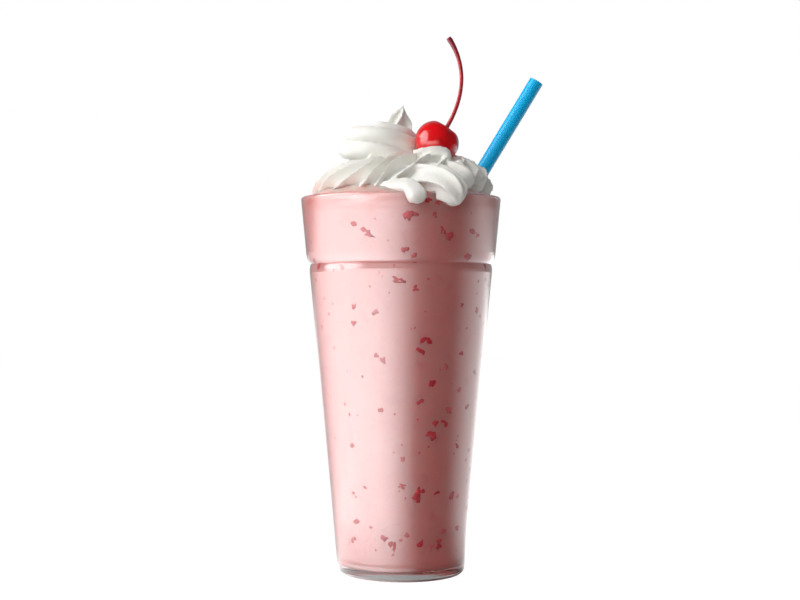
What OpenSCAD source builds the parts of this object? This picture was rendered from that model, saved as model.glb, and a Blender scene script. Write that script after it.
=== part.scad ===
// A strawberry milkshake in a tall stepped glass, topped with piped whipped cream,
// a stemmed cherry and a straw. Millimetres, +Z up. The origin is the centre of the
// glass's underside, -Y is the front, and +X is the side that the straw leans to.

/* [Glass] */
// Height of the glass
glass_h = 169; // [140:1:205]
// Outer radius of the glass at its rim
rim_r = 45; // [38:0.5:55]
// Thickness of the glass wall
wall = 2.2; // [1.6:0.1:3]
// Thickness of the glass under the drink
base_t = 4.4; // [3:0.1:9]
// Growth of the radius for each mm of height, the same in both bands
taper = 0.0925; // [0.06:0.0025:0.11]
// Height of the upper band, from the crease to the rim
band_h = 30; // [20:1:45]
// How far the upper band stands out past the lower one
step = 0.8; // [0.4:0.1:1.6]
// Depth of the crease between the two bands
crease_d = 0.9; // [0.3:0.1:1.4]
// Height of the rounded shoulder on each side of the crease
shoulder_h = 5; // [3:0.5:8]
// Radius of the glass's lower outer edge
foot_round = 2.6; // [1:0.1:4]
// Radius of the corner between the inner wall and the inner floor
floor_round = 5; // [2:0.5:8]

/* [Milkshake] */
// Height of the drink's mound above the rim
mound_h = 5; // [2:0.2:8]
// Squareness of the mound: 2 is a round dome, and more is flatter on top
mound_power = 6; // [2:0.5:10]

/* [Whipped cream] */
// Radius of the base ring's rope
ring_rope = 12.6; // [10:0.2:15.2]
// Room left between the base ring's ridges and the glass
ring_room = 2.7; // [1:0.1:5]
// Height of the base ring's centre line above the rim
ring_lift = 2.6; // [0:0.2:5]
// How much higher the base ring stands at the front than in its middle
ring_rise = 2.4; // [0:0.2:4]
// How far the base ring is tucked in at the front, where the drink shows
ring_tuck = 3; // [0:0.2:4]
// Ridges round the base ring's rope
ring_ridges = 7; // [5:1:9]
// Ridges that the base ring's twist passes in one lap
ring_twist = 16; // [8:1:24]
// Depth of the grooves, as a share of the rope's radius
groove = 0.3; // [0.1:0.02:0.4]
// Radius of the rope's inner lap
lap_rope = 11.4; // [9:0.2:13.8]
// Radius of the hole that the inner lap leaves in its middle
lap_hole = 2; // [1:0.5:4]
// Height of the inner lap's centre line above the rim
lap_lift = 8.6; // [4:0.2:12]
// Radius of the second swirl's rope
swirl_rope = 9.6; // [8:0.2:11.6]
// Radius of the hole that the second swirl leaves in its middle
swirl_hole = 1; // [0.5:0.5:3]
// How far the second swirl sits to the left of the glass's axis
swirl_left = 7.6; // [2:0.2:10]
// How far the second swirl sits behind the glass's axis
swirl_back = 3; // [0:0.5:6]
// Height of the second swirl's centre line above the rim
swirl_lift = 23.6; // [18:0.2:30]
// Ridges round the second swirl's rope
swirl_ridges = 5; // [4:1:8]
// Height of the peak's tip above the rim
peak_h = 41.6; // [36:0.2:50]
// Radius of the peak's foot, inside the second swirl
peak_r = 10; // [7:0.5:12]
// Turn of the peak's ridges from its foot to its tip
peak_twist = 110; // [0:10:200]
// How far the peak stands to the left of the glass's axis
peak_left = 0.8; // [-3:0.2:3]
// How far the peak's tip curls over to the right
peak_curl = 1.9; // [0:0.1:4]
// Radius of the cream's larger drip
drip_r = 6; // [4:0.2:7]
// How far the cream's drips hang below the rim
drip_h = 6; // [2:0.5:10]

/* [Cherry] */
// Width of the cherry
cherry_w = 20; // [16:0.5:24]
// Height of the cherry along its own axis
cherry_h = 18.6; // [15:0.2:22]
// Depth of the dimple that the stem grows from
dimple = 2.2; // [1:0.1:3]
// Lean of the cherry and of the stem's root, towards the straw
cherry_lean = 34; // [0:1:50]
// Height of the cherry's centre above the rim
cherry_lift = 25; // [22:0.2:28]
// Angle of the cherry round the glass, from the front towards the straw
cherry_turn = 53; // [40:1:60]
// How far the cherry's centre lies inside the base ring's centre line
cherry_in = 7.5; // [4:0.5:10]
// Height of the stem's tip above its root
stem_h = 41; // [30:1:50]
// Radius of the stem along its middle
stem_r = 0.65; // [0.4:0.05:1.2]
// Radius of the stem at its root
stem_root_r = 0.85; // [0.6:0.05:1.4]
// Radius of the knob at the stem's tip
stem_knob_r = 1.15; // [0.8:0.05:2]

/* [Straw] */
// Outer diameter of the straw
straw_d = 6.6; // [5:0.2:9]
// Thickness of the straw's wall
straw_wall = 0.4; // [0.2:0.05:0.8]
// Length of the straw
straw_len = 174; // [140:1:210]
// Height at which the straw's lower end rests against the far wall
straw_foot_z = 74.5; // [40:0.5:90]
// How far inside the glass the straw's axis passes at the height of the rim
straw_in = 13.3; // [9:0.1:18]
// How far the straw stands behind the glass's axis
straw_y = 12; // [6:0.5:16]

/* [Fits] */
// Clearance between pieces that touch
fit = 0.1; // [0.05:0.05:0.3]

/* [Hidden] */

FRONT = -90;
LAP = 360;
crease_z = glass_h - band_h;
foot_r = lower_r(0);
inner_rim_r = rim_r - wall;

// The cream's ropes: the base ring keeps its room from the glass, and the inner lap and the
// second swirl close up to their holes.
ring_r = inner_rim_r - ring_room - ring_rope;
lap_r = lap_rope + lap_hole;
swirl_r = swirl_rope + swirl_hole;
swirl_at = [-swirl_left, swirl_back];
ROPE_STEPS = 4;
tuck_at = FRONT - 20;
rise_at = FRONT + 30;

// The cherry nests in front of the second swirl, on the inner slope of the base ring.
cherry_r = ring_r - cherry_in;
cherry_at = [cherry_r * cos(FRONT + cherry_turn), cherry_r * sin(FRONT + cherry_turn),
    glass_h + cherry_lift];
cherry_axis = [sin(cherry_lean), 0, cos(cherry_lean)];
stem_root = cherry_at + (cherry_h / 2 - dimple) * cherry_axis;
stem_sink = 3;

// The straw leans from the far wall to the place where it passes the rim.
straw_foot_x = straw_d / 2 + fit - sqrt(pow(inner_r(straw_foot_z), 2) - pow(straw_y, 2));
straw_rim_x = inner_rim_r - straw_in;
straw_lean = atan2(straw_rim_x - straw_foot_x, glass_h - straw_foot_z);

// Outer radius of each band of the glass at a height, and the inner radius of the lower one.
function upper_r(z) = rim_r - taper * (glass_h - z);
function lower_r(z) = upper_r(z) - step;
function inner_r(z) = lower_r(z) - wall;

// Points of an arc, and of a curve that leaves a and meets c along the lines to b.
function arc(centre, r, from, to, n) =
    [for (i = [0 : n]) let (a = from + (to - from) * i / n) centre + r * [cos(a), sin(a)]];
function bend(a, b, c, n) =
    [for (i = [0 : n]) let (t = i / n) pow(1 - t, 2) * a + 2 * t * (1 - t) * b + t * t * c];

// The line of the glass's side from the lower band over the crease to the upper band,
// moved in by depth.
function side(depth) = [
    each bend([lower_r(crease_z - shoulder_h) - depth, crease_z - shoulder_h],
        [lower_r(crease_z) - depth, crease_z - shoulder_h / 4],
        [lower_r(crease_z) - crease_d - depth, crease_z], 6),
    each bend([lower_r(crease_z) - crease_d - depth, crease_z],
        [upper_r(crease_z) - depth, crease_z + shoulder_h / 5],
        [upper_r(crease_z + shoulder_h) - depth, crease_z + shoulder_h], 6)
];

// The whole outline of the glass's inside up to the rim's round, moved in by gap.
function inside(gap) = [
    [0, base_t + gap],
    each arc([inner_r(base_t + floor_round) - floor_round - gap, base_t + floor_round + gap],
        floor_round, -90, 0, 6),
    each side(wall + gap),
    [inner_rim_r - gap, glass_h - wall / 2]
];

function reversed(points) = [for (i = [len(points) - 1 : -1 : 0]) points[i]];

// The drink's mound, from the wall up to its middle, raised by gap.
function mound(gap) =
    [for (i = [0 : 9])
        let (u = 1 - pow(i / 9, 1.6))
        [(inner_rim_r - fit) * u,
            glass_h - wall / 2 + (mound_h + wall / 2) * (1 - pow(u, mound_power)) + gap]];

// Radius at angle a of a piped rope of radius 1: round ridges between sharp grooves.
function star(a, ridges) = 1 - groove * (1 - abs(cos(ridges * a / 2)));

// Smooth hump of height 1 round an angle, as wide as half a lap.
function hump(a, at) = pow(max(0, cos(a - at)), 2);

// Angle of point k on a rope's section, which has a few points to each ridge.
function rope_angle(k, ridges) = LAP * k / (ROPE_STEPS * ridges);

// Section of a rope round a vertical axis: angle a on a circle of radius r, turned by spin.
function ring_section(centre, a, r, z, rope, spin, ridges) =
    [for (k = [0 : ROPE_STEPS * ridges - 1])
        let (s = rope_angle(k, ridges), q = rope * star(s, ridges), out = r + q * cos(s + spin))
        [centre[0] + out * cos(a), centre[1] + out * sin(a), z + q * sin(s + spin)]];

// Level section of the peak, from its foot at u = 0 to its tip at u = 1: a steep cone whose
// tip curls over towards the cherry.
function peak_section(u) =
    let (t = 1 - pow(1 - u, 2), r = peak_r * (1 - u) + 0.25, foot = swirl_lift - 6)
    [for (k = [0 : ROPE_STEPS * swirl_ridges - 1])
        let (s = rope_angle(k, swirl_ridges), q = r * star(s, swirl_ridges),
            turn = peak_twist * t - s)
        [peak_curl * pow(t, 8) - peak_left + q * cos(turn), 1 + q * sin(turn),
            glass_h + foot + (peak_h - foot) * t]];

// Centre line of the stem at share t of its length: it leaves along the cherry's axis, bows
// out over the straw's side and comes back at its tip.
function stem_point(t) =
    let (b = stem_root + 0.26 * stem_h * cherry_axis,
        c = stem_root + stem_h * [0.3, 0, 0.62],
        d = stem_root + stem_h * [0.04, 0, 1])
    pow(1 - t, 3) * stem_root + 3 * t * pow(1 - t, 2) * b + 3 * t * t * (1 - t) * c + pow(t, 3) * d;

// Radius of the stem at share t: a little wider at the root, and a knob at the tip.
function stem_radius(t) =
    stem_r + (stem_root_r - stem_r) * pow(1 - t, 6) + (stem_knob_r - stem_r) * pow(t, 16);

// Section of the stem round a point, square to the direction, which lies in the XZ plane.
function stem_section(at, toward, r) =
    let (d = toward / norm(toward))
    [for (k = [0 : 9]) let (s = LAP * k / 10)
        at + r * (cos(s) * [d[2], 0, -d[0]] - sin(s) * [0, 1, 0])];

// Closed skin over a row of sections. A shift joins the last section back to the first, as
// many points further round; without one, the two ends are capped.
module skin(sections, shift = undef) {
    m = len(sections);
    n = len(sections[0]);
    open = is_undef(shift);
    polyhedron(
        points = [for (s = sections) each s],
        faces = [
            for (i = [0 : m - (open ? 2 : 1)], k = [0 : n - 1])
                let (j = (i + 1) % m, back = j == 0 ? shift : 0,
                    a = i * n + k, b = i * n + (k + 1) % n,
                    c = j * n + (k + 1 + back) % n, d = j * n + (k + back) % n)
                each [[a, b, d], [b, c, d]],
            if (open) each [
                [for (k = [n - 1 : -1 : 0]) k],
                [for (k = [0 : n - 1]) (m - 1) * n + k]
            ]
        ]);
}

// One drip of cream: it leaves the base ring some degrees back, swings round to its angle
// over the rim, and hangs down outside it.
module drip(angle, r, top, swing) {
    path = [[-15, top, swing], [-7, 0.8 * top, swing / 2], [0, 0.3 * top, swing / 5],
        [0.9, r - drip_h, 0]];
    for (i = [0 : len(path) - 2])
        hull()
            for (p = [path[i], path[i + 1]])
                rotate([0, 0, angle - p[2]])
                    translate([rim_r + p[0], 0, glass_h + p[1]]) sphere(r = r, $fn = 16);
}

// A fold of cream pushed up round the cherry: it runs outward at an angle, between two
// places given from the rim.
module knuckle(angle, r, from, to) {
    rotate([0, 0, angle])
        hull()
            for (p = [[from, r], [to, 0.8 * r]])
                translate([rim_r + p[0][0], 0, glass_h + p[0][1]]) sphere(r = p[1], $fn = 14);
}

// Everything of the straw out to its radius, for the straw and for the holes round it.
module straw_rod(r, extra = 0) {
    translate([straw_foot_x, straw_y, straw_foot_z])
        rotate([0, straw_lean, 0])
            translate([0, 0, -extra]) cylinder(h = straw_len + 2 * extra, r = r, $fn = 48);
}

// The cherry's outer shape, grown by gap.
module cherry_body(gap = 0) {
    translate(cherry_at)
        rotate([0, cherry_lean, 0])
            rotate_extrude($fn = 48)
                polygon([for (a = [0 : 7.5 : 180])
                    [(cherry_w / 2 + gap) * sin(a),
                        (cherry_h / 2 + gap) * cos(a) - dimple * exp(-pow(a / 24, 2))]]);
}

// What the cream lies on: the drink's mound, and the glass's rim and side, grown by fit.
module seat() {
    rotate_extrude($fn = 72)
        polygon([
            [0, glass_h - band_h],
            [upper_r(glass_h - band_h) + fit, glass_h - band_h],
            each arc([rim_r - wall / 2, glass_h - wall / 2], wall / 2 + fit, 0, 180, 8),
            each mound(fit)
        ]);
}

module glass() {
    color([0.86, 0.93, 0.95, 0.35])
        rotate_extrude($fn = 96)
            polygon([
                [0, 0],
                each arc([foot_r - foot_round, foot_round], foot_round, -90, 0, 6),
                each side(0),
                each arc([rim_r - wall / 2, glass_h - wall / 2], wall / 2, 0, 180, 8),
                each reversed(inside(0))
            ]);
}

module milkshake() {
    color([0.95, 0.72, 0.72])
        difference() {
            rotate_extrude($fn = 96)
                polygon([each inside(fit), each mound(0)]);
            straw_rod(straw_d / 2 + fit, extra = fit);
        }
}

module base_ring() {
    sections = 54;
    skin([for (i = [0 : sections - 1])
        let (a = LAP * i / sections, rise = ring_rise * cos(a - rise_at))
        ring_section([0, 0], a, ring_r - ring_tuck * hump(a, tuck_at),
            glass_h + ring_lift + rise, ring_rope + rise / 4,
            LAP * ring_twist / ring_ridges * i / sections, ring_ridges)],
        shift = (ROPE_STEPS * ring_twist) % (ROPE_STEPS * ring_ridges));
}

module inner_lap() {
    sections = 36;
    skin([for (i = [0 : sections - 1])
        ring_section([0, 0], LAP * i / sections, lap_r, glass_h + lap_lift, lap_rope,
            LAP * i / sections, ring_ridges)],
        shift = 0);
}

// Most of one lap, thin where it starts behind and where it ends against the peak.
module second_swirl() {
    sections = 32;
    start = 25;
    sweep = 340;
    spin = 250;
    skin([for (i = [0 : sections])
        let (t = i / sections, swell = sin(180 * t))
        ring_section(swirl_at, start + sweep * t, swirl_r, glass_h + swirl_lift - 2 + 3.4 * swell,
            swirl_rope * (0.76 + 0.24 * swell), spin * t, swirl_ridges)]);
}

// The inside of the heap, which closes the hollows between the ropes: low between the base
// ring and the inner lap, and high under the second swirl. The cone is turned a little, so
// that none of its edges lies in the plane of one of the lap's cross sections.
module heap_core() {
    translate([0, 0, glass_h]) cylinder(h = lap_lift, r = lap_r + 9.8, $fn = 32);
    translate([0, 0, glass_h]) rotate([0, 0, 4])
        cylinder(h = swirl_lift - 3, r1 = lap_r + 6, r2 = 9, $fn = 24);
    translate([swirl_at[0], swirl_at[1], glass_h])
        cylinder(h = swirl_lift - 2, r = swirl_rope - 1, $fn = 16);
}

module whipped_cream() {
    color([0.96, 0.95, 0.92])
        difference() {
            union() {
                base_ring();
                inner_lap();
                second_swirl();
                heap_core();
                skin([for (i = [0 : 12]) peak_section(i / 12)]);
                drip(FRONT + 8, 0.72 * drip_r, 4, 12);
                drip(FRONT + 31, drip_r, 8, 16);
                knuckle(FRONT + 18, 7, [-19, 9], [-7, 5]);
                knuckle(FRONT + 46, 6, [-21, 13], [-12, 9]);
                knuckle(FRONT + 62, 5, [-18, 11], [-8, 5]);
            }
            seat();
            cherry_body(fit);
            straw_rod(straw_d / 2 + fit, extra = fit);
        }
}

module cherry() {
    color([0.8, 0.06, 0.09])
        difference() {
            cherry_body();
            translate(stem_root)
                rotate([0, cherry_lean, 0])
                    translate([0, 0, -stem_sink - fit])
                        cylinder(h = stem_sink + dimple + fit, r = stem_root_r + fit, $fn = 24);
        }
}

module cherry_stem() {
    rings = 24;
    nudge = 0.001;
    color([0.55, 0.07, 0.12])
        skin([
            stem_section(stem_root - stem_sink * cherry_axis, cherry_axis, stem_root_r),
            for (i = [0 : rings])
                let (t = i / rings)
                stem_section(stem_point(t), stem_point(t + nudge) - stem_point(t - nudge),
                    stem_radius(t))
        ]);
}

module straw() {
    color([0, 0.6, 0.82])
        difference() {
            straw_rod(straw_d / 2);
            straw_rod(straw_d / 2 - straw_wall, extra = 1);
        }
}

glass();
milkshake();
whipped_cream();
cherry();
cherry_stem();
straw();
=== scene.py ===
# A strawberry milkshake in a tall stepped glass, with its whipped cream, cherry, stem and straw.
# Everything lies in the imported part's frame: metres, +Z up, and -Y is the front. Meshes are
# worked out in millimetres and scaled when a piece is made.

import math

import bpy
import numpy as np
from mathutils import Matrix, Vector, noise


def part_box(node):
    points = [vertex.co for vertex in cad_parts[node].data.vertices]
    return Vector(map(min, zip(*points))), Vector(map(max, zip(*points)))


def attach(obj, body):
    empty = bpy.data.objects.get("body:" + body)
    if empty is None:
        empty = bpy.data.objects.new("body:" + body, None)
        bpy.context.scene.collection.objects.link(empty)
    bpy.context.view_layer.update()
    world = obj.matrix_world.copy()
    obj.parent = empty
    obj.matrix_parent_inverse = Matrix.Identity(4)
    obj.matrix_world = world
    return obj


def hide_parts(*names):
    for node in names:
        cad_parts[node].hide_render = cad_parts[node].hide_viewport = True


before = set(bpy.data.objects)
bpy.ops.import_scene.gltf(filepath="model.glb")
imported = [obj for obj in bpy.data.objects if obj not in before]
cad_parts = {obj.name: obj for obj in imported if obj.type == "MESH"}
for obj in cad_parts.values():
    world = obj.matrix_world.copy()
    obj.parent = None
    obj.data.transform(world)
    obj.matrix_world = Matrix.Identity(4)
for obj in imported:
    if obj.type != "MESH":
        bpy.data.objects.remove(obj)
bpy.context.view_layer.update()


# ---------------------------------------------------------------------------------------------
# The glass: a tall pressed tumbler of clear soda glass, with a wider band above a pressed
# crease, a thick base and fire-polished edges. The mould leaves its walls very slightly wavy,
# and handling leaves them with a faint uneven haze.

class Wire:
    """One output of a shader node. Python's operators on it add Math nodes."""

    def __init__(self, tree, socket=None):
        self.tree = tree
        self.socket = socket

    def node(self, kind, settings={}, inputs={}, out=0):
        """Adds a node of a kind, with its settings and then its inputs, and gives one output."""
        made = self.tree.nodes.new("ShaderNode" + kind)
        for name, value in settings.items():
            setattr(made, name, value)
        for name, value in inputs.items():
            if isinstance(value, Wire):
                self.tree.links.new(value.socket, made.inputs[name])
            else:
                made.inputs[name].default_value = value
        return Wire(self.tree, made.outputs[out] if len(made.outputs) else None)

    def math(self, operation, *values):
        return self.node("Math", {"operation": operation}, dict(enumerate(values)))

    def __add__(self, other):
        return self.math("ADD", self, other)

    def __sub__(self, other):
        return self.math("SUBTRACT", self, other)

    def __rsub__(self, other):
        return self.math("SUBTRACT", other, self)

    def __mul__(self, other):
        return self.math("MULTIPLY", self, other)

    __radd__ = __add__
    __rmul__ = __mul__

    def between(self, low, high):
        """0 up to low, 1 from high, and a smooth rise between them."""
        return self.node("MapRange", {"interpolation_type": "SMOOTHSTEP"},
                         {"Value": self, "From Min": low, "From Max": high})

    def place(self):
        return self.node("TexCoord", out="Object")

    def stretched(self, x, y, z):
        return self.node("VectorMath", {"operation": "MULTIPLY"}, {0: self, 1: (x, y, z)})

    def part(self, axis):
        """One part of this place or direction: X, Y or Z."""
        return self.node("SeparateXYZ", {}, {0: self}, out=axis)

    def facing(self, way):
        """How much this direction points the way of another: 1 along it, 0 square to it."""
        return self.node("VectorMath", {"operation": "DOT_PRODUCT"}, {0: self, 1: way},
                         out="Value")

    def cloud(self, scale, detail=2.0):
        """Soft noise round 0.5 at a place, with this many spots to the metre."""
        return self.node("TexNoise", {}, {"Vector": self, "Scale": scale, "Detail": detail})

    def tint(self, share, colour):
        """This colour, mixed with a share of another one."""
        return self.node("Mix", {"data_type": "RGBA"}, {0: share, 6: self, 7: colour}, out=2)

    def bumped(self, depth):
        """A normal from this height, where 1 stands for a depth in metres."""
        return self.node("Bump", {}, {"Height": self, "Distance": depth, "Strength": 1.0})


def finish(name, build):
    """A material whose surface comes from build, which is given a wire to hang nodes on."""
    made = bpy.data.materials.new(name)
    made.use_nodes = True
    made.node_tree.nodes.clear()
    start = Wire(made.node_tree)
    start.node("OutputMaterial", {}, {"Surface": build(start)})
    return made


def colour(start, base, share, other):
    """One colour with a varying share of another."""
    return start.node("Mix", {"data_type": "RGBA"},
                      {0: share, 6: (*base, 1), 7: (*other, 1)}, out=2)


def clear_glass(start):
    place = start.place()
    flow = place.stretched(1, 1, 0.25).cloud(55, 1.0)
    haze = place.cloud(140, 4.0).between(0.45, 0.8)
    body = start.node("BsdfPrincipled", {}, {
        "Base Color": (1, 1, 1, 1), "Roughness": haze * 0.03, "IOR": 1.5,
        "Transmission Weight": 1.0, "Coat Weight": 1.0, "Coat IOR": 1.5, "Coat Roughness": 0.02,
        "Normal": flow.bumped(0.00006)})
    through = start.node("BsdfTransparent", {}, {"Color": (0.97, 0.98, 0.975, 1)})
    soft = start.node("MixShader", {}, {
        0: start.node("LightPath", out="Is Diffuse Ray"), 1: body, 2: through})
    return start.node("MixShader", {}, {
        0: start.node("LightPath", out="Is Shadow Ray"), 1: soft, 2: through})


def dress(piece, material):
    """Gives a piece one material all over."""
    piece.data.materials.clear()
    piece.data.materials.append(material)


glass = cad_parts["glass"]
dress(glass, finish("clear_glass", clear_glass))


# ---------------------------------------------------------------------------------------------
# The milkshake: milk, ice cream and crushed strawberries, blended thick. It fills the glass
# and domes over the brim, wets the wall all the way up, and is mottled by pulp and by air.

mm = 0.001
rim_r, glass_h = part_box("glass")[1].x / mm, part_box("glass")[1].z / mm
wall, base_t, taper, band_h, step, crease_d, shoulder_h = 2.2, 4.4, 0.0925, 30, 0.8, 0.9, 5
crease_z = glass_h - band_h
corner_r, wets = 5, 0.15
mound_h, mound_power, mound_ripple = 5, 6, 0.16
foam_zone = 0.1675, 0.1705


def band_r(z, lower):
    """Outer radius of the glass's upper or lower band at a height."""
    return rim_r - taper * (glass_h - z) - (step if lower else 0)


def bend(a, b, c, n):
    """Points of a curve that leaves a and meets c along the lines to b."""
    t = np.linspace(0, 1, n)[:, None]
    return (1 - t) ** 2 * np.array(a) + 2 * t * (1 - t) * np.array(b) + t ** 2 * np.array(c)


def glass_side(depth, n=14):
    """The line of the glass's side over the crease, moved in by a depth."""
    low, waist = band_r(crease_z - shoulder_h, True), band_r(crease_z, True) - crease_d
    return np.vstack([
        bend([low - depth, crease_z - shoulder_h],
             [band_r(crease_z, True) - depth, crease_z - shoulder_h / 4],
             [waist - depth, crease_z], n),
        bend([waist - depth, crease_z],
             [band_r(crease_z, False) - depth, crease_z + shoulder_h / 5],
             [band_r(crease_z + shoulder_h, False) - depth, crease_z + shoulder_h], n)])


def turned(outline, steps=192):
    """Points and faces of a solid turned round the Z axis. Its outline starts and ends there."""
    angles = np.linspace(0, 2 * np.pi, steps, endpoint=False)
    points = [(r * math.cos(a), r * math.sin(a), z) for r, z in outline[1:-1] for a in angles]
    points += [(0, 0, outline[0][1]), (0, 0, outline[-1][1])]
    top = (len(outline) - 3) * steps
    faces = [(i + k, i + (k + 1) % steps, i + steps + (k + 1) % steps, i + steps + k)
             for i in range(0, top, steps) for k in range(steps)]
    faces += [(len(points) - 2, (k + 1) % steps, k) for k in range(steps)]
    faces += [(len(points) - 1, top + k, top + (k + 1) % steps) for k in range(steps)]
    return np.array(points), faces


def new_piece(name, points, faces):
    """A smooth-shaded mesh from points in millimetres."""
    mesh = bpy.data.meshes.new(name)
    mesh.from_pydata((np.asarray(points) * mm).tolist(), [], faces)
    mesh.polygons.foreach_set("use_smooth", [True] * len(mesh.polygons))
    piece = bpy.data.objects.new(name, mesh)
    bpy.context.scene.collection.objects.link(piece)
    return piece


def shake_r(z):
    """Outer radius of the drink at a height, which reaches just into the wall."""
    if abs(z - crease_z) < shoulder_h:
        side = glass_side(wall - wets)
        return float(np.interp(z, side[:, 1], side[:, 0]))
    return band_r(z, z < crease_z) - wall + wets


floor_r = band_r(base_t + corner_r, True) - wall - corner_r
corner = [(floor_r + (corner_r + wets) * math.cos(a),
           base_t + corner_r + (corner_r + wets) * math.sin(a))
          for a in np.radians(np.linspace(-90, 0, 9))]
straight_side = [(shake_r(z), z) for z in np.linspace(base_t + 12, crease_z - shoulder_h - 1, 40)]
brim = rim_r - wall + wets
dome = [(brim * u, glass_h - wall / 2 + (mound_h + wall / 2) * (1 - u ** mound_power))
        for u in 1 - np.linspace(0, 1, 40) ** 1.4]
points, faces = turned([(0, base_t - wets), *corner, *straight_side, *glass_side(wall - wets),
                        (shake_r(glass_h - 8), glass_h - 8), *dome])
for p in points:
    over = max(0.0, p[2] - glass_h + wall / 2)
    p[2] += mound_ripple * over * (noise.noise(Vector(p) / 7) + 0.6 * noise.noise(Vector(p) / 2.6))
milkshake = new_piece("milkshake_body", points, faces)


def shake_finish(start):
    place = start.place()
    cloudy = place.cloud(45, 3.0).between(0.42, 0.72)
    pulpy = place.stretched(1, 1, 0.7).cloud(170, 3.0).between(0.56, 0.74)
    air = place.node("TexVoronoi", {}, {"Vector": place, "Scale": 620.0}).between(0.05, 0.3)
    foam = place.part("Z").between(*foam_zone)
    base = colour(start, (0.72, 0.22, 0.2), cloudy * 0.5, (0.7, 0.18, 0.17))
    base = base.tint(pulpy * 0.4, (0.62, 0.08, 0.1, 1)).tint(foam * 0.75, (0.98, 0.66, 0.6, 1))
    return start.node("BsdfPrincipled", {}, {
        "Base Color": base, "Roughness": 0.3 + cloudy * 0.15, "IOR": 1.4,
        "Subsurface Weight": 1.0, "Subsurface Radius": (1.0, 0.2, 0.17),
        "Subsurface Scale": 0.02, "Coat Weight": 1.0, "Coat IOR": 2.7,
        "Coat Roughness": 0.34, "Normal": (air + cloudy).bumped(0.00008)})


dress(milkshake, finish("strawberry_shake", shake_finish))
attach(milkshake, "root")
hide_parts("milkshake")


# ---------------------------------------------------------------------------------------------
# Bits of strawberry: torn pieces of fruit from two to seven millimetres across, pressed flat
# against the glass by the drink. Those that lie a little deeper look paler through it. They
# are denser low down and on the right, and small specks of pulp lie between them.

dice = np.random.default_rng(7)
flatness, reach = 0.13, 0.13
grown, sunk = 1.6, 0.6
bit_count, bits_low, bits_tall = 140, 12, 148
speck_count, specks_low, specks_tall = 170, 10, 152


def ball(detail):
    """Points and faces of a fine unit ball."""
    bpy.ops.mesh.primitive_ico_sphere_add(subdivisions=detail, radius=1)
    made = bpy.context.object
    points = np.array([v.co for v in made.data.vertices])
    faces = [tuple(f.vertices) for f in made.data.polygons]
    bpy.data.objects.remove(made)
    return points, faces


def scattered(name, places, detail):
    """One mesh of torn bits. A place is an angle from the front, a height, a size and a depth."""
    unit, unit_faces = ball(detail)
    points, faces, depths = [], [], []
    for turn, z, size, depth in places:
        a, seed = math.radians(turn - 90), dice.uniform(0, 90, 3)
        torn = np.array([1 + 0.75 * noise.noise(Vector(p * 1.3 + seed)) +
                         0.35 * noise.noise(Vector(p * 3.1 + seed)) for p in unit])
        shape = [dice.uniform(0.7, 1.25), flatness, dice.uniform(0.6, 1.1)]
        flat = unit * torn[:, None] * size / 2 * shape
        tilt = dice.uniform(0, np.pi)
        side = flat[:, 0] * math.cos(tilt) - flat[:, 2] * math.sin(tilt)
        up = flat[:, 0] * math.sin(tilt) + flat[:, 2] * math.cos(tilt)
        round_off = side ** 2 / (2 * shake_r(z))
        out = shake_r(z) + reach - flat[:, 1].max() + flat[:, 1] - round_off
        faces += [tuple(i + len(points) * len(unit) for i in f) for f in unit_faces]
        points.append(np.stack([out * math.cos(a) - side * math.sin(a),
                                out * math.sin(a) + side * math.cos(a), z + up], 1))
        depths += [depth] * len(unit)
    piece = new_piece(name, np.vstack(points), faces)
    piece.data.attributes.new("depth", "FLOAT", "POINT").data.foreach_set("value", depths)
    return piece


def fruit_finish(start):
    place = start.place()
    deep = start.node("Attribute", {"attribute_name": "depth"}, out="Fac")
    flesh = place.cloud(900, 3.0).between(0.35, 0.7)
    base = colour(start, (0.48, 0.002, 0.015), flesh, (0.66, 0.012, 0.035))
    base = base.tint(deep, (0.8, 0.22, 0.22, 1))
    return start.node("BsdfPrincipled", {}, {
        "Base Color": base, "Roughness": 0.3 + flesh * 0.2, "Subsurface Weight": 0.2,
        "Subsurface Radius": (1.0, 0.2, 0.2), "Subsurface Scale": 0.001,
        "Normal": flesh.bumped(0.00005)})


chosen = [(-69, 141.5, 2.6, 0), (-28, 155.6, 2, 0.1), (15, 166, 2, 0), (22, 165, 2.6, 0.5),
          (25, 153.6, 3, 0.5), (47, 153, 2, 0.3), (-64, 137, 2.2, 0.4), (67, 137, 2.6, 0.3),
          (-3.5, 132.3, 3, 0), (-20, 152, 3.4, 0.15), (-22.5, 153.3, 2, 0.1),
          (4, 160.7, 4.2, 0.25), (8, 160.2, 3, 0.5), (2, 144.4, 2.4, 0.15), (17, 106.5, 3.4, 0.1),
          (12.6, 102.2, 3, 0.15), (60, 119, 2.4, 0), (57, 76.5, 2.6, 0.1), (34, 70, 2.8, 0.3),
          (24, 66, 3.4, 0.25), (48, 59.5, 2.6, 0.3), (16, 41, 3.6, 0.2), (30, 39.5, 3, 0.1),
          (47, 38.5, 3, 0.35), (13, 37.6, 2.8, 0.2), (-7, 17.8, 3, 0.1), (17, 17.8, 2.6, 0.15),
          (36, 16, 2.8, 0.1), (59, 22.6, 2.4, 0.3), (72, 48.5, 2.6, 0.35), (75, 31.5, 3, 0.3),
          (0, 43, 2.6, 0.35), (-14, 76, 2, 0.45), (-40, 60, 2, 0.6), (9, 128, 2, 0.4)]
bits = [(turn, z, grown * size, depth * sunk) for turn, z, size, depth in chosen]
for _ in range(bit_count):
    turn, share = dice.uniform(-180, 180), dice.uniform(0, 1) ** 1.15
    if -75 < turn < 5 and dice.uniform() < 0.5:
        continue
    bits.append((turn, bits_low + bits_tall * share, dice.uniform(1.8, 4.2),
                 dice.uniform(0.05, 0.75)))
strawberry_bits = scattered("strawberry_bits", bits, 3)
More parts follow.
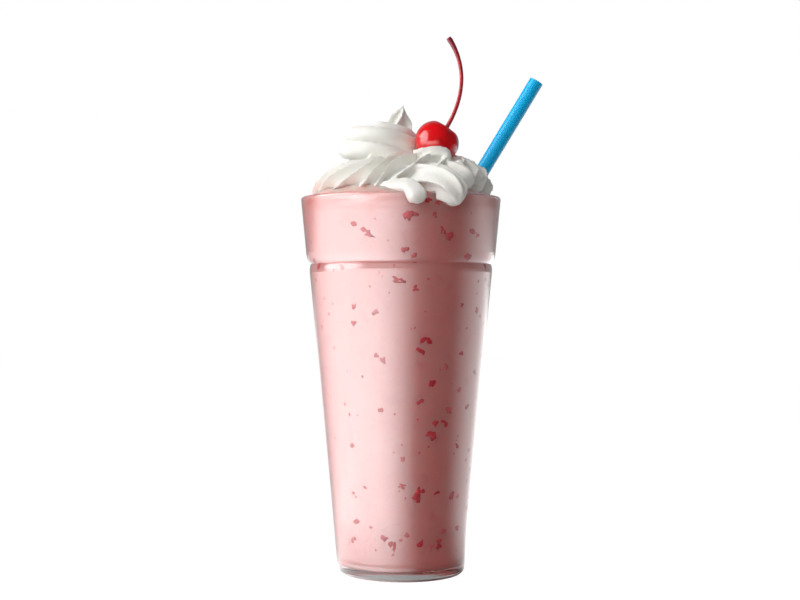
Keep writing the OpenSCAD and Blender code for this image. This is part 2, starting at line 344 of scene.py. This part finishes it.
specks = [(dice.uniform(-180, 180), specks_low + specks_tall * dice.uniform() ** 1.1,
           dice.uniform(0.7, 1.5), dice.uniform(0.35, 0.9)) for _ in range(speck_count)]
strawberry_specks = scattered("strawberry_specks", specks, 2)
fruit = finish("strawberry", fruit_finish)
for piece in (strawberry_bits, strawberry_specks):
    dress(piece, fruit)
    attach(piece, "root")


# ---------------------------------------------------------------------------------------------
# The whipped cream: one heap, squeezed through a star nozzle. A thick twisted ring lies inside
# the rim, a lap inside it closes the middle, and a second swirl leans to the left and ends in
# a peak. At the front two folds sag over the rim, and more are pushed up round the cherry.

front, lap_start, lap_end = -90, -272, 92
ring_rope, ring_room, ring_lift, ring_tuck, ring_wide = 12.6, 2.7, 2.6, 3, 1.3
ring_r = rim_r - wall - ring_room - ring_rope
swirl_middle, swirl_r, swirl_rope = (-7.6, 3), 10.6, 10
peak_foot, peak_h = 17.6, 24.6
blunt_from, blunt_span = 0.8, 0.0408


def waver(seed, at, size=1.0):
    """Smooth chance between about -1 and 1 along a rope."""
    return 1.6 * noise.noise(Vector((at / size, seed * 7.3, seed)))


def fold(u):
    """Depth of a leaning fold: broad above one crest, and steep below the next."""
    return np.sin(np.pi * (1 - u) ** 0.66)


def lobe(u):
    """Depth beside a round lobe, between two sharp creases."""
    return 1 - np.sqrt(np.abs(np.sin(np.pi * u)))


def piped(path, ridges, depth, shape, fine=12):
    """Points and faces of a piped rope. A path's station is its centre, its outward and
    upward directions, its radius, and the angle of its first ridge."""
    n = ridges * fine
    s = np.arange(n) / n * 2 * np.pi
    cut = 1 - depth * shape(np.arange(n) / fine % 1)
    points = []
    for centre, out, up, r, turn in path:
        a = s + math.radians(turn)
        points.append(np.array(centre) + r * cut[:, None] * (
            np.cos(a)[:, None] * np.array(out) + np.sin(a)[:, None] * np.array(up)))
    rows = len(points)
    points = np.vstack(points + [[path[0][0]], [path[-1][0]]])
    faces = [(i * n + k, (i + 1) * n + k, (i + 1) * n + (k + 1) % n, i * n + (k + 1) % n)
             for i in range(rows - 1) for k in range(n)]
    faces += [(rows * n, k, (k + 1) % n) for k in range(n)]
    faces += [(rows * n + 1, (rows - 1) * n + (k + 1) % n, (rows - 1) * n + k) for k in range(n)]
    return points, faces


def ring_station(middle, a, r, z, thick, turn):
    """A station at an angle on a level circle."""
    out = np.array([math.cos(math.radians(a)), math.sin(math.radians(a)), 0])
    return (np.array([*middle, z]) + r * out, out, (0, 0, 1), thick, turn)


def base_ring():
    path = []
    for a in np.arange(lap_start, lap_end, 1.5):
        tuck = max(0, math.cos(math.radians(a - front + 20))) ** 2
        rise = 2.4 * math.cos(math.radians(a - front - 30))
        turn = np.interp(a, [lap_start, -139, -115, -105, -97, -52, lap_end],
                         [-420, -90, -45, 0, 42, 153, 536])
        wide = ring_wide * abs(math.cos(math.radians(a)))
        r = ring_r - ring_tuck * tuck + wide + 0.5 * waver(2, a, 25)
        thick = ring_rope + rise / 4 + 0.5 * waver(3, a, 17)
        path.append(ring_station((0, 0), a, r, glass_h + ring_lift + rise, thick,
                                 turn + 4 * waver(1, a, 21)))
    return piped(path, 8, 0.46, fold)


def inner_lap():
    path = [ring_station((0, 0), a, 13.4, glass_h + 8.6 + 0.5 * waver(4, a, 25),
                         11.4 + 0.4 * waver(5, a, 25), 2 * a + 5 * waver(6, a, 30))
            for a in range(lap_start, lap_end, 3)]
    return piped(path, 8, 0.3, fold)


def second_swirl():
    path = []
    for t in np.linspace(0, 1, 120):
        a, swell = 25 + 340 * t, math.sin(math.pi * t)
        sag = 2.6 * max(0, -math.cos(math.radians(a))) ** 2
        thick = swirl_rope * (0.76 + 0.24 * swell) + 0.25 * waver(8, a, 40)
        path.append(ring_station(swirl_middle, a, swirl_r, glass_h + 21.6 + 3.4 * swell - sag,
                                 thick, 30 - 0.46 * (a - 180) + 4 * waver(7, a, 50)))
    return piped(path, 5, 0.5, lobe)


def peak():
    path = []
    for u in np.linspace(0, 1, 60):
        t = 1 - (1 - u) ** 2
        centre = (2.6 * t ** 9 - 1.2, 1, glass_h + peak_foot + peak_h * t)
        r = 11.6 * (1 - math.exp(-peak_h * (1 - t) / 9)) ** 1.15 + 0.3
        path.append((centre, (1, 0, 0), (0, 1, 0), r, 150 * t + 25))
    return piped(path, 5, 0.62, fold)


def strand(stops, ridges, depth, shape, twist=(0, 0)):
    """A piped strand through stops, each a place and a radius, in a smooth curve."""
    stops = np.array(stops, float)
    ends = np.vstack([2 * stops[0] - stops[1], stops, 2 * stops[-1] - stops[-2]])
    line = []
    for i in range(1, len(ends) - 2):
        a, b, c, d = ends[i - 1:i + 3]
        for t in np.linspace(0, 1, 16, endpoint=i == len(ends) - 3):
            line.append(0.5 * (2 * b + (c - a) * t + (2 * a - 5 * b + 4 * c - d) * t ** 2
                               + (3 * b - a - 3 * c + d) * t ** 3))
    line = np.array(line)
    along = np.gradient(line[:, :3], axis=0)
    along /= np.linalg.norm(along, axis=1)[:, None]
    up = np.array([0.3, -0.2, 1.0])
    path = []
    for i, (x, y, z, r) in enumerate(line):
        up = up - along[i] * (up @ along[i])
        up /= np.linalg.norm(up)
        share = i / (len(line) - 1)
        blunt = min(1, math.sqrt(max(0.0, 1 - max(0, share - blunt_from) ** 2 / blunt_span)))
        path.append(((x, y, z), np.cross(along[i], up), up, max(r * blunt, 0.3),
                     twist[0] + twist[1] * share))
    return piped(path, ridges, depth, shape)


def lump(centre, size):
    """A plain ball that fills the inside of the heap."""
    points, faces = ball(3)
    return points * size + centre, faces


shells = [
    base_ring(), inner_lap(), second_swirl(), peak(),
    strand([(-12, -30, 170.4, 3), (-4, -35.5, 171, 3.6), (3.2, -41, 170.2, 4.4),
            (6.6, -47, 166.8, 4.5), (7.2, -48.8, 163.8, 4.2)], 4, 0.14, fold, (60, 60)),
    strand([(3, -19, 176.4, 6), (8, -28, 175.4, 7.8), (15, -35, 173.6, 8.4),
            (21, -40.8, 169.6, 7.6), (24.4, -44.2, 163.4, 5.4)], 6, 0.26, fold, (140, 60)),
    strand([(17, -20, 180, 5), (24, -29, 177, 6), (30, -33, 172, 5.4)], 6, 0.22, fold, (30, 60)),
    strand([(20, -8, 184, 5), (29, -14, 180, 5.4), (34, -17, 174, 5)], 5, 0.3, lobe, (10, 50)),
    strand([(6, -19, 185, 4), (14, -22.5, 186.6, 4.2), (22, -22.5, 184.6, 4)], 5, 0.34, fold,
           (10, 90)),
    lump((19.6, -25.5, 182.6), (2.6, 3, 4)), lump((25.4, -25, 179.4), (2.6, 3, 4.6)),
    lump((0, 0, glass_h + 4), (23, 23, 9)), lump((-3, 1, glass_h + 13), (16, 16, 13)),
    lump((-7.6, 3, glass_h + 20), (9, 9, 8)),
]
points = np.vstack([p for p, _ in shells])
starts = np.cumsum([0] + [len(p) for p, _ in shells])
faces = [tuple(start + i for i in f) for start, (_, fs) in zip(starts, shells) for f in fs]
cream = new_piece("whipped_cream_heap", points, faces)


def settle(piece):
    """Works a piece's modifiers into its mesh."""
    bpy.context.view_layer.update()
    worked = piece.evaluated_get(bpy.context.evaluated_depsgraph_get())
    made = bpy.data.meshes.new_from_object(worked)
    piece.modifiers.clear()
    piece.data = made
    made.polygons.foreach_set("use_smooth", [True] * len(made.polygons))


voxel, seat_gap, seat_in, seat_down = 0.55, 0.05, 0.2, 0.25
remesh = cream.modifiers.new("one skin", "REMESH")
remesh.mode, remesh.voxel_size = "VOXEL", voxel * mm
soften = cream.modifiers.new("soft", "SMOOTH")
soften.factor, soften.iterations = 0.5, 2
settle(cream)
soft_points = np.zeros(len(cream.data.vertices) * 3)
cream.data.vertices.foreach_get("co", soft_points)
soft_points = soft_points.reshape(-1, 3)
normals = np.array([v.normal for v in cream.data.vertices])
swell = np.array([0.28 * noise.noise(Vector(p) / 0.006) + 0.1 * noise.noise(Vector(p) / 0.0017)
                  for p in soft_points])
cream.data.vertices.foreach_set("co", (soft_points + normals * swell[:, None] * mm).ravel())

edge_r = wall / 2 + seat_gap
rim_round = [(rim_r - wall / 2 + edge_r * math.cos(a), glass_h - wall / 2 + edge_r * math.sin(a))
             for a in np.radians(np.linspace(0, 180, 13))]
seat_dome = [(r - seat_in, z - seat_down) for r, z in dome[1:]]
seat = new_piece("seat", *turned([(0, crease_z), (rim_r - taper * band_h + seat_gap, crease_z),
                                  *rim_round, *seat_dome], 160))
cut = cream.modifiers.new("seat", "BOOLEAN")
cut.operation, cut.object, cut.solver = "DIFFERENCE", seat, "MANIFOLD"
settle(cream)
bpy.data.objects.remove(seat)

cherry_low, cherry_high = (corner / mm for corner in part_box("cherry"))
cherry_middle = (cherry_low + cherry_high) / 2


def cream_finish(start):
    place = start.place()
    soft = place.cloud(110, 3.0).between(0.35, 0.7)
    pits = place.node("TexVoronoi", {}, {"Vector": place, "Scale": 1500.0}).between(0.1, 0.5)
    grain = place.cloud(2600, 2.0)
    away = place.node("VectorMath", {"operation": "DISTANCE"},
                      {0: place, 1: tuple(cherry_middle * mm)}, out="Value")
    smear = place.cloud(420, 3.0)
    syrup = (1 - (away + smear * 0.004).between(0.0115, 0.0121)) * 0.8
    pink = (1 - (place.part("Z") + smear * 0.004).between(0.1735, 0.1775)) * 0.04
    base = colour(start, (0.87, 0.862, 0.82), soft, (0.84, 0.83, 0.785))
    base = base.tint(pink, (0.9, 0.5, 0.5, 1)).tint(syrup, (0.62, 0.02, 0.03, 1))
    return start.node("BsdfPrincipled", {}, {
        "Base Color": base, "Roughness": 0.42 + soft * 0.16, "IOR": 1.38,
        "Subsurface Weight": 0.35, "Subsurface Radius": (1.0, 0.85, 0.7),
        "Subsurface Scale": 0.0016, "Normal": (pits * 0.5 + grain * 0.5).bumped(0.00007)})


dress(cream, finish("cream", cream_finish))
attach(cream, "root")
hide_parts("whipped_cream")


# ---------------------------------------------------------------------------------------------
# The cherry: a pitted cherry, soaked in red syrup until it is glassy. It has a dimple where
# the stem grows, a seam down one side that parts two uneven lobes, and a wet skin.

cherry_w, cherry_h, dimple, root_depth, lean = 20, 18.6, 4, 3, math.radians(34)
axis = np.array([math.sin(lean), 0, math.cos(lean)])
cherry_at = np.array([16, -12, glass_h + 24.0])
across, deep_side = np.array([math.cos(lean), 0, -math.sin(lean)]), np.array([0, 1, 0])
seam_at, seam_w, seam_depth, dimple_w = 300, 14, 0.09, 21
columns, rows = 120, 72
points = []
for i in range(1, rows):
    tip = math.pi * i / rows
    for k in range(columns):
        a = 2 * math.pi * k / columns
        from_seam = (math.degrees(a) - seam_at + 180) % 360 - 180
        seam = math.exp(-(from_seam / seam_w) ** 2 - max(0, tip - 1) * 1.6) * math.sin(tip) ** 0.6
        r = cherry_w / 2 * math.sin(tip) * (1 - seam_depth * seam - 0.012 * math.cos(2 * a))
        z = cherry_h / 2 * math.cos(tip) - dimple * math.exp(-(math.degrees(tip) / dimple_w) ** 2)
        p = cherry_at + r * (math.cos(a) * across + math.sin(a) * deep_side) + z * axis
        points.append(p + 0.07 * noise.noise(Vector(p) / 3.4) * (p - cherry_at) / 10)
points += [cherry_at + (cherry_h / 2 - dimple) * axis, cherry_at - cherry_h / 2 * axis]
last = (rows - 2) * columns
faces = [(i + (k + 1) % columns, i + k, i + columns + k, i + columns + (k + 1) % columns)
         for i in range(0, last, columns) for k in range(columns)]
faces += [(len(points) - 2, k, (k + 1) % columns) for k in range(columns)]
faces += [(len(points) - 1, last + (k + 1) % columns, last + k) for k in range(columns)]
cherry = new_piece("cherry_fruit", points, faces)


def cherry_finish(start):
    place = start.place()
    mottle = place.cloud(260, 3.0).between(0.35, 0.7)
    skin = place.stretched(1, 1, 0.5).cloud(900, 2.0)
    base = colour(start, (0.82, 0.004, 0.008), mottle, (0.66, 0.002, 0.006))
    return start.node("BsdfPrincipled", {}, {
        "Base Color": base, "Roughness": 0.16 + mottle * 0.08, "IOR": 1.42,
        "Subsurface Weight": 0.3, "Subsurface Radius": (1.0, 0.06, 0.04),
        "Subsurface Scale": 0.003, "Coat Weight": 0.8 + mottle * 0.2, "Coat Roughness": 0.06,
        "Normal": (skin + mottle).bumped(0.00006)})


dress(cherry, finish("cherry", cherry_finish))
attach(cherry, "root")
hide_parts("cherry")


# ---------------------------------------------------------------------------------------------
# The stem: the cherry's own, dyed dark red by the syrup. It bows out and back, is a little
# thicker at its root, and ends in the knob where it was picked from the twig.

stem_h, stem_r, knob_from, root_reach = 41, 0.84, 0.985, 2.5
root = cherry_at + (cherry_h / 2 - root_depth) * axis
control = np.array([root, root + 0.26 * stem_h * axis, root + stem_h * np.array([0.3, 0, 0.62]),
                    root + stem_h * np.array([0.04, 0, 1])])
t = np.linspace(0, 1, 110)[:, None]
line = ((1 - t) ** 3 * control[0] + 3 * t * (1 - t) ** 2 * control[1]
        + 3 * t ** 2 * (1 - t) * control[2] + t ** 3 * control[3])
line = np.vstack([root - root_reach * axis, line])
along = np.gradient(line, axis=0)
along /= np.linalg.norm(along, axis=1)[:, None]
path = []
for i, (p, d) in enumerate(zip(line, along)):
    share = max(0, i - 1) / (len(line) - 2)
    r = stem_r + 0.2 * (1 - share) ** 6 + 0.5 * share ** 8 + 0.035 * waver(11, i, 6)
    if share > knob_from:
        r *= 0.82
    path.append((p, np.cross(d, (0, 1, 0)), (0, 1, 0), r, 1.2 * i))
stem = new_piece("cherry_stalk", *piped(path, 5, 0.07, lobe, 5))


def stem_finish(start):
    place = start.place()
    streak = place.stretched(1, 1, 0.12).cloud(2600, 3.0).between(0.35, 0.7)
    tip = place.part("Z").between(0.224, 0.2405)
    base = colour(start, (0.52, 0.012, 0.022), streak, (0.36, 0.008, 0.018))
    base = base.tint(tip * 0.75, (0.13, 0.01, 0.028, 1))
    return start.node("BsdfPrincipled", {}, {
        "Base Color": base, "Roughness": 0.3 + streak * 0.15, "Coat Weight": 0.3,
        "Coat Roughness": 0.12, "Normal": streak.bumped(0.00003)})


dress(stem, finish("cherry_stem", stem_finish))
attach(stem, "root")
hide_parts("cherry_stem")


# ---------------------------------------------------------------------------------------------
# The straw: an extruded tube of blue polypropylene, cut square. Extrusion leaves faint lines
# along it and a soft sheen.

def straw_finish(start):
    place = start.place()
    along_straw = place.node("VectorRotate", {"rotation_type": "Y_AXIS"},
                             {"Vector": place, "Angle": math.radians(-31.2)})
    lines = along_straw.stretched(1, 1, 0.01).cloud(420, 0.0)
    base = colour(start, (0.0, 0.47, 0.9), lines.between(0.3, 0.7), (0.0, 0.5, 0.95))
    return start.node("BsdfPrincipled", {}, {
        "Base Color": base, "Roughness": 0.24 + lines * 0.08, "IOR": 1.49,
        "Normal": lines.bumped(0.00002)})


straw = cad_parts["straw"]
dress(straw, finish("straw_plastic", straw_finish))


# ---------------------------------------------------------------------------------------------
# The studio: a pale floor, three soft panels on the left, a weak one behind on the right, and a
# level camera. Polished pieces don't mirror the panels: the floor and the sky show them one
# soft glow instead, brightest on the left.

left_way, right_way, window_way = (-0.883, -0.469, 0), (0.643, 0.766, 0), (-0.96, -0.14, 0.24)


def sheen(start, way, share=1.0):
    """Light that polished pieces mirror from a direction: bright on the left, less behind."""
    left, right, back = way.facing(left_way), way.facing(right_way), way.part("Y")
    return start.node("Emission", {}, {
        "Strength": (left.between(0, 1) * 3.1 + right.between(0.3, 1) * 1.1) * share
        + back.between(0.5, 0.95) * 0.6 + 0.04})


def floor_finish(start):
    place = start.place()
    speck = place.cloud(60, 3.0).between(0.3, 0.7)
    base = colour(start, (0.6, 0.6, 0.6), speck, (0.64, 0.64, 0.64))
    matt = start.node("BsdfPrincipled", {}, {"Base Color": base, "Roughness": 0.6})
    lit = start.node("Emission", {}, {"Color": (1, 1, 1, 1), "Strength": 1.2})
    seen = start.node("LightPath", out="Is Camera Ray")
    shown = start.node("MixShader", {}, {0: seen * 0.8, 1: matt, 2: lit})
    way = place.node("VectorMath", {"operation": "NORMALIZE"}, {0: place})
    away = place.node("VectorMath", {"operation": "LENGTH"}, {0: place}, out="Value")
    return start.node("MixShader", {}, {
        0: start.node("LightPath", out="Is Glossy Ray"), 1: shown,
        2: sheen(start, way, away.between(0.04, 0.14) * 0.4 + 0.6)})


floor = new_piece("floor", *turned([(0, -1), (2500, -1), (2500, 0), (0, 0)], 64))
floor.location.z = -0.0001
pale_floor = finish("pale_floor", floor_finish)
pale_floor.cycles.emission_sampling = "NONE"  # its glow is only mirrored: it isn't a lamp
dress(floor, pale_floor)


def panel_glow(strength):
    """Light that is even over a panel's middle and fades towards its edges."""
    def build(start):
        place = start.place()
        across = start.math("ABSOLUTE", place.part("X"))
        up = start.math("ABSOLUTE", place.part("Y"))
        fade = (1 - across).between(0, 0.6) * (1 - up).between(0, 0.4)
        return start.node("Emission", {}, {"Strength": fade * strength})
    return build


def panel(name, turn, distance, height, width, tall, strength):
    """A soft panel that faces the glass, at an angle to the right of the camera."""
    square = [(-1000, -1000, 0), (1000, -1000, 0), (1000, 1000, 0), (-1000, 1000, 0)]
    sheet = new_piece(name, square, [(0, 1, 2, 3)])
    a = math.radians(turn - 90)
    sheet.location = (distance * math.cos(a), distance * math.sin(a), height)
    away = sheet.location - Vector((0, 0, 0.12))
    sheet.rotation_euler = away.to_track_quat("Z", "Y").to_euler()
    sheet.scale = (width / 2, tall / 2, 1)
    sheet.visible_camera = sheet.visible_glossy = False
    dress(sheet, finish(name, panel_glow(strength)))


panel("left_panel", -72, 1.0, 0.35, 1.7, 0.9, 2.2)
panel("front_left_panel", -15, 0.8, 0.5, 0.8, 0.6, 2.2)
panel("top_left_panel", -62, 0.62, 0.8, 0.6, 0.6, 6.6)
panel("right_strip", 122, 0.9, 0.3, 0.6, 0.8, 1.0)

world = bpy.data.worlds.new("studio")
world.use_nodes = True
world.node_tree.nodes.clear()
sky = Wire(world.node_tree)
way = sky.node("TexCoord", out="Generated")
behind = way.part("Y").between(0.2, 0.9)
height = way.part("Z")
window = way.facing(window_way)
dim = sky.node("Background", {}, {"Color": (1, 0.98, 0.95, 1), "Strength": 0.2 + behind * 0.4})
high = window.between(0.82, 0.94) * 6.0 + behind * 0.3 + 0.06
mirrored = sky.node("MixShader", {}, {
    0: height.between(-0.06, 0.0), 1: sheen(sky, way),
    2: sky.node("Background", {}, {"Strength": high})})
white = sky.node("Background", {}, {"Color": (1, 1, 1, 1), "Strength": 1.0})
unseen = sky.node("MixShader", {}, {
    0: sky.node("LightPath", out="Is Glossy Ray"), 1: dim, 2: mirrored})
sky.node("OutputWorld", {}, {"Surface": sky.node("MixShader", {}, {
    0: sky.node("LightPath", out="Is Camera Ray"), 1: unseen, 2: white})})
bpy.context.scene.world = world

lens = bpy.data.cameras.new("camera")
lens.lens, lens.sensor_width, lens.shift_y = 67.5, 36, 0.00375
camera = bpy.data.objects.new("camera", lens)
camera.location = (-0.0004, -0.678, 0.1215)
camera.rotation_euler = (math.radians(90), 0, 0)
bpy.context.scene.collection.objects.link(camera)
bpy.context.scene.camera = camera
bpy.context.scene.view_settings.view_transform = "Standard"
bpy.context.scene.cycles.caustics_refractive = False
bpy.context.scene.cycles.use_denoising = True
